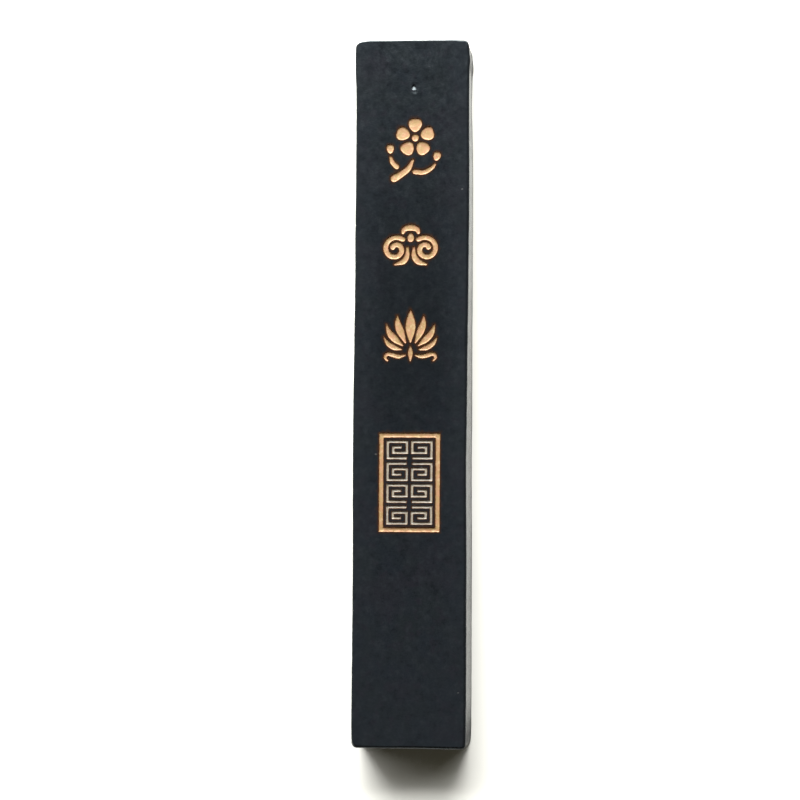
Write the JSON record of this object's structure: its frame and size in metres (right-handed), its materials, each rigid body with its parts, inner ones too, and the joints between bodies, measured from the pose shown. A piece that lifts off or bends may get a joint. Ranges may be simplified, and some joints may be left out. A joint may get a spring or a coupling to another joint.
{
  "type": "ink stick",
  "caption": "Slim rectangular stick of pressed black ink with recessed gold-painted ornament on one face, made to be ground on an ink stone with water.",
  "frame": {"origin": "under the middle of the stick, on the plain back face that it lies on", "axes": "+Y along the stick to the head end, where the dimple is; -Y is the end that is ground; +Z out of the decorated face; +X to the right of someone who looks down on the decorated face with the head end away from them"},
  "size_m": [0.0236, 0.148, 0.0124],
  "materials": {
    "pressed_ink": "matte black pressed soot and glue, with a faint satin sheen on the edges",
    "gold_paint": "hand-brushed gold paint, satin",
    "pale_gold_paint": "hand-brushed pale gold paint, satin"
  },
  "bodies": {
    "root": {"blossom_centre": "gold_paint", "blossom_petal_1": "gold_paint", "blossom_petal_2": "gold_paint", "blossom_petal_3": "gold_paint", "blossom_petal_4": "gold_paint", "blossom_petal_5": "gold_paint", "bud_left": "gold_paint", "bud_right": "gold_paint", "cloud_crest": "gold_paint", "cloud_drop": "gold_paint", "cloud_volute_left": "gold_paint", "cloud_volute_right": "gold_paint", "cloud_wisp_left": "gold_paint", "cloud_wisp_right": "gold_paint", "fret_1_1": "pale_gold_paint", "fret_1_2": "pale_gold_paint", "fret_2_1": "pale_gold_paint", "fret_2_2": "pale_gold_paint", "fret_3_1": "pale_gold_paint", "fret_3_2": "pale_gold_paint", "fret_4_1": "pale_gold_paint", "fret_4_2": "pale_gold_paint", "ink_cake": "pressed_ink", "lotus_drop": "gold_paint", "lotus_petal_inner_left": "gold_paint", "lotus_petal_inner_right": "gold_paint", "lotus_petal_middle_left": "gold_paint", "lotus_petal_middle_right": "gold_paint", "lotus_petal_outer_left": "gold_paint", "lotus_petal_outer_right": "gold_paint", "lotus_petal_top": "gold_paint", "lotus_scroll_left": "gold_paint", "lotus_scroll_right": "gold_paint", "panel_frame": "gold_paint", "twig": "gold_paint", "twig_left": "gold_paint", "twig_right": "gold_paint"}
  },
  "joints": []
}
